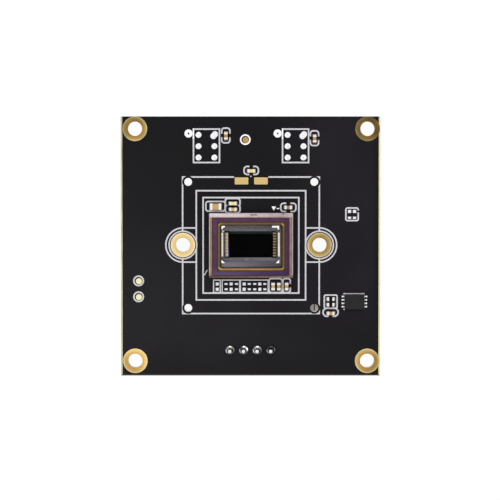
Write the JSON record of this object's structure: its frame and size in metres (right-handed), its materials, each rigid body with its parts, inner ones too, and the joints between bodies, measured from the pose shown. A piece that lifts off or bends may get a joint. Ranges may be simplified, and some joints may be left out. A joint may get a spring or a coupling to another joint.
{
  "type": "camera module",
  "caption": "Square black image sensor board with a glazed sensor package in the middle, gilded corner and lens holder holes, printed lens holder outline and a rear plug header.",
  "frame": {"origin": "centre of the four corner holes, on the front face of the board", "axes": "+Z along the optical axis, away from the sensor face; +X to the right and +Y up as the sensor face is seen, with the header at the -Y edge"},
  "size_m": [0.038, 0.038, 0.0091],
  "materials": {
    "solder_mask": "satin black solder mask over glass-fibre laminate",
    "gilt_copper": "gilded copper, satin",
    "tin": "tin solder, bright",
    "ink": "white printed ink",
    "package_ceramic": "pinkish grey fired ceramic",
    "seal_resin": "dark resin, purple through the coated glass",
    "seal_metal": "gilded frame, dull",
    "cover_glass": "coated glass",
    "die_resin": "silver-filled bonding resin, tarnished brown",
    "silicon": "polished silicon",
    "pixels": "black filter layer",
    "capacitor_ceramic": "brown dielectric ceramic",
    "bulk_ceramic": "tan dielectric ceramic",
    "mould_compound": "black moulding compound",
    "resistor_coat": "black glass overcoat",
    "nylon": "natural nylon",
    "crystal_ceramic": "fired ceramic",
    "crystal_metal": "seam-welded lid",
    "ferrite": "dark ferrite",
    "copper_wire": "enamelled copper wire"
  },
  "bodies": {
    "root": {"circuit_board": "solder_mask", "corner_eyelets": "gilt_copper", "lens_eyelets": "gilt_copper", "front_legend": "ink", "rear_legend": "ink", "contact_pads": "gilt_copper", "test_pads": "gilt_copper", "microphone_pads": "tin", "spare_pads": "tin", "sensor_package": "package_ceramic", "sensor_lands": "tin", "sensor_seal": "seal_resin", "seal_ring": "seal_metal", "cover_glass": "cover_glass", "die_adhesive": "die_resin", "sensor_die": "silicon", "pixel_array": "pixels", "die_bond_pads": "gilt_copper", "bond_fingers": "ink", "bond_wires": "gilt_copper", "shelf_marks": "ink", "capacitor_bodies": "capacitor_ceramic", "capacitor_ends": "tin", "bulk_capacitor_body": "bulk_ceramic", "bulk_capacitor_ends": "tin", "resistor_bodies": "resistor_coat", "resistor_ends": "tin", "chip_lands": "tin", "chip_solder": "tin", "memory_chip": "mould_compound", "memory_terminals": "tin", "header_housing": "nylon", "header_pins": "tin", "header_eyelets": "tin", "header_solder": "tin", "controller_chip": "mould_compound", "controller_terminals": "tin", "controller_solder": "tin", "flash_chip": "mould_compound", "flash_leads": "tin", "crystal_base": "crystal_ceramic", "crystal_lid": "crystal_metal", "crystal_lands": "tin", "inductor_cores": "ferrite", "inductor_coils": "copper_wire", "inductor_terminals": "tin", "regulator_bodies": "mould_compound", "regulator_leads": "tin", "rear_capacitor_bodies": "capacitor_ceramic", "rear_capacitor_ends": "tin", "rear_bulk_bodies": "bulk_ceramic", "rear_bulk_ends": "tin", "rear_resistor_bodies": "resistor_coat", "rear_resistor_ends": "tin", "rear_chip_lands": "tin", "rear_chip_solder": "tin"}
  },
  "joints": []
}
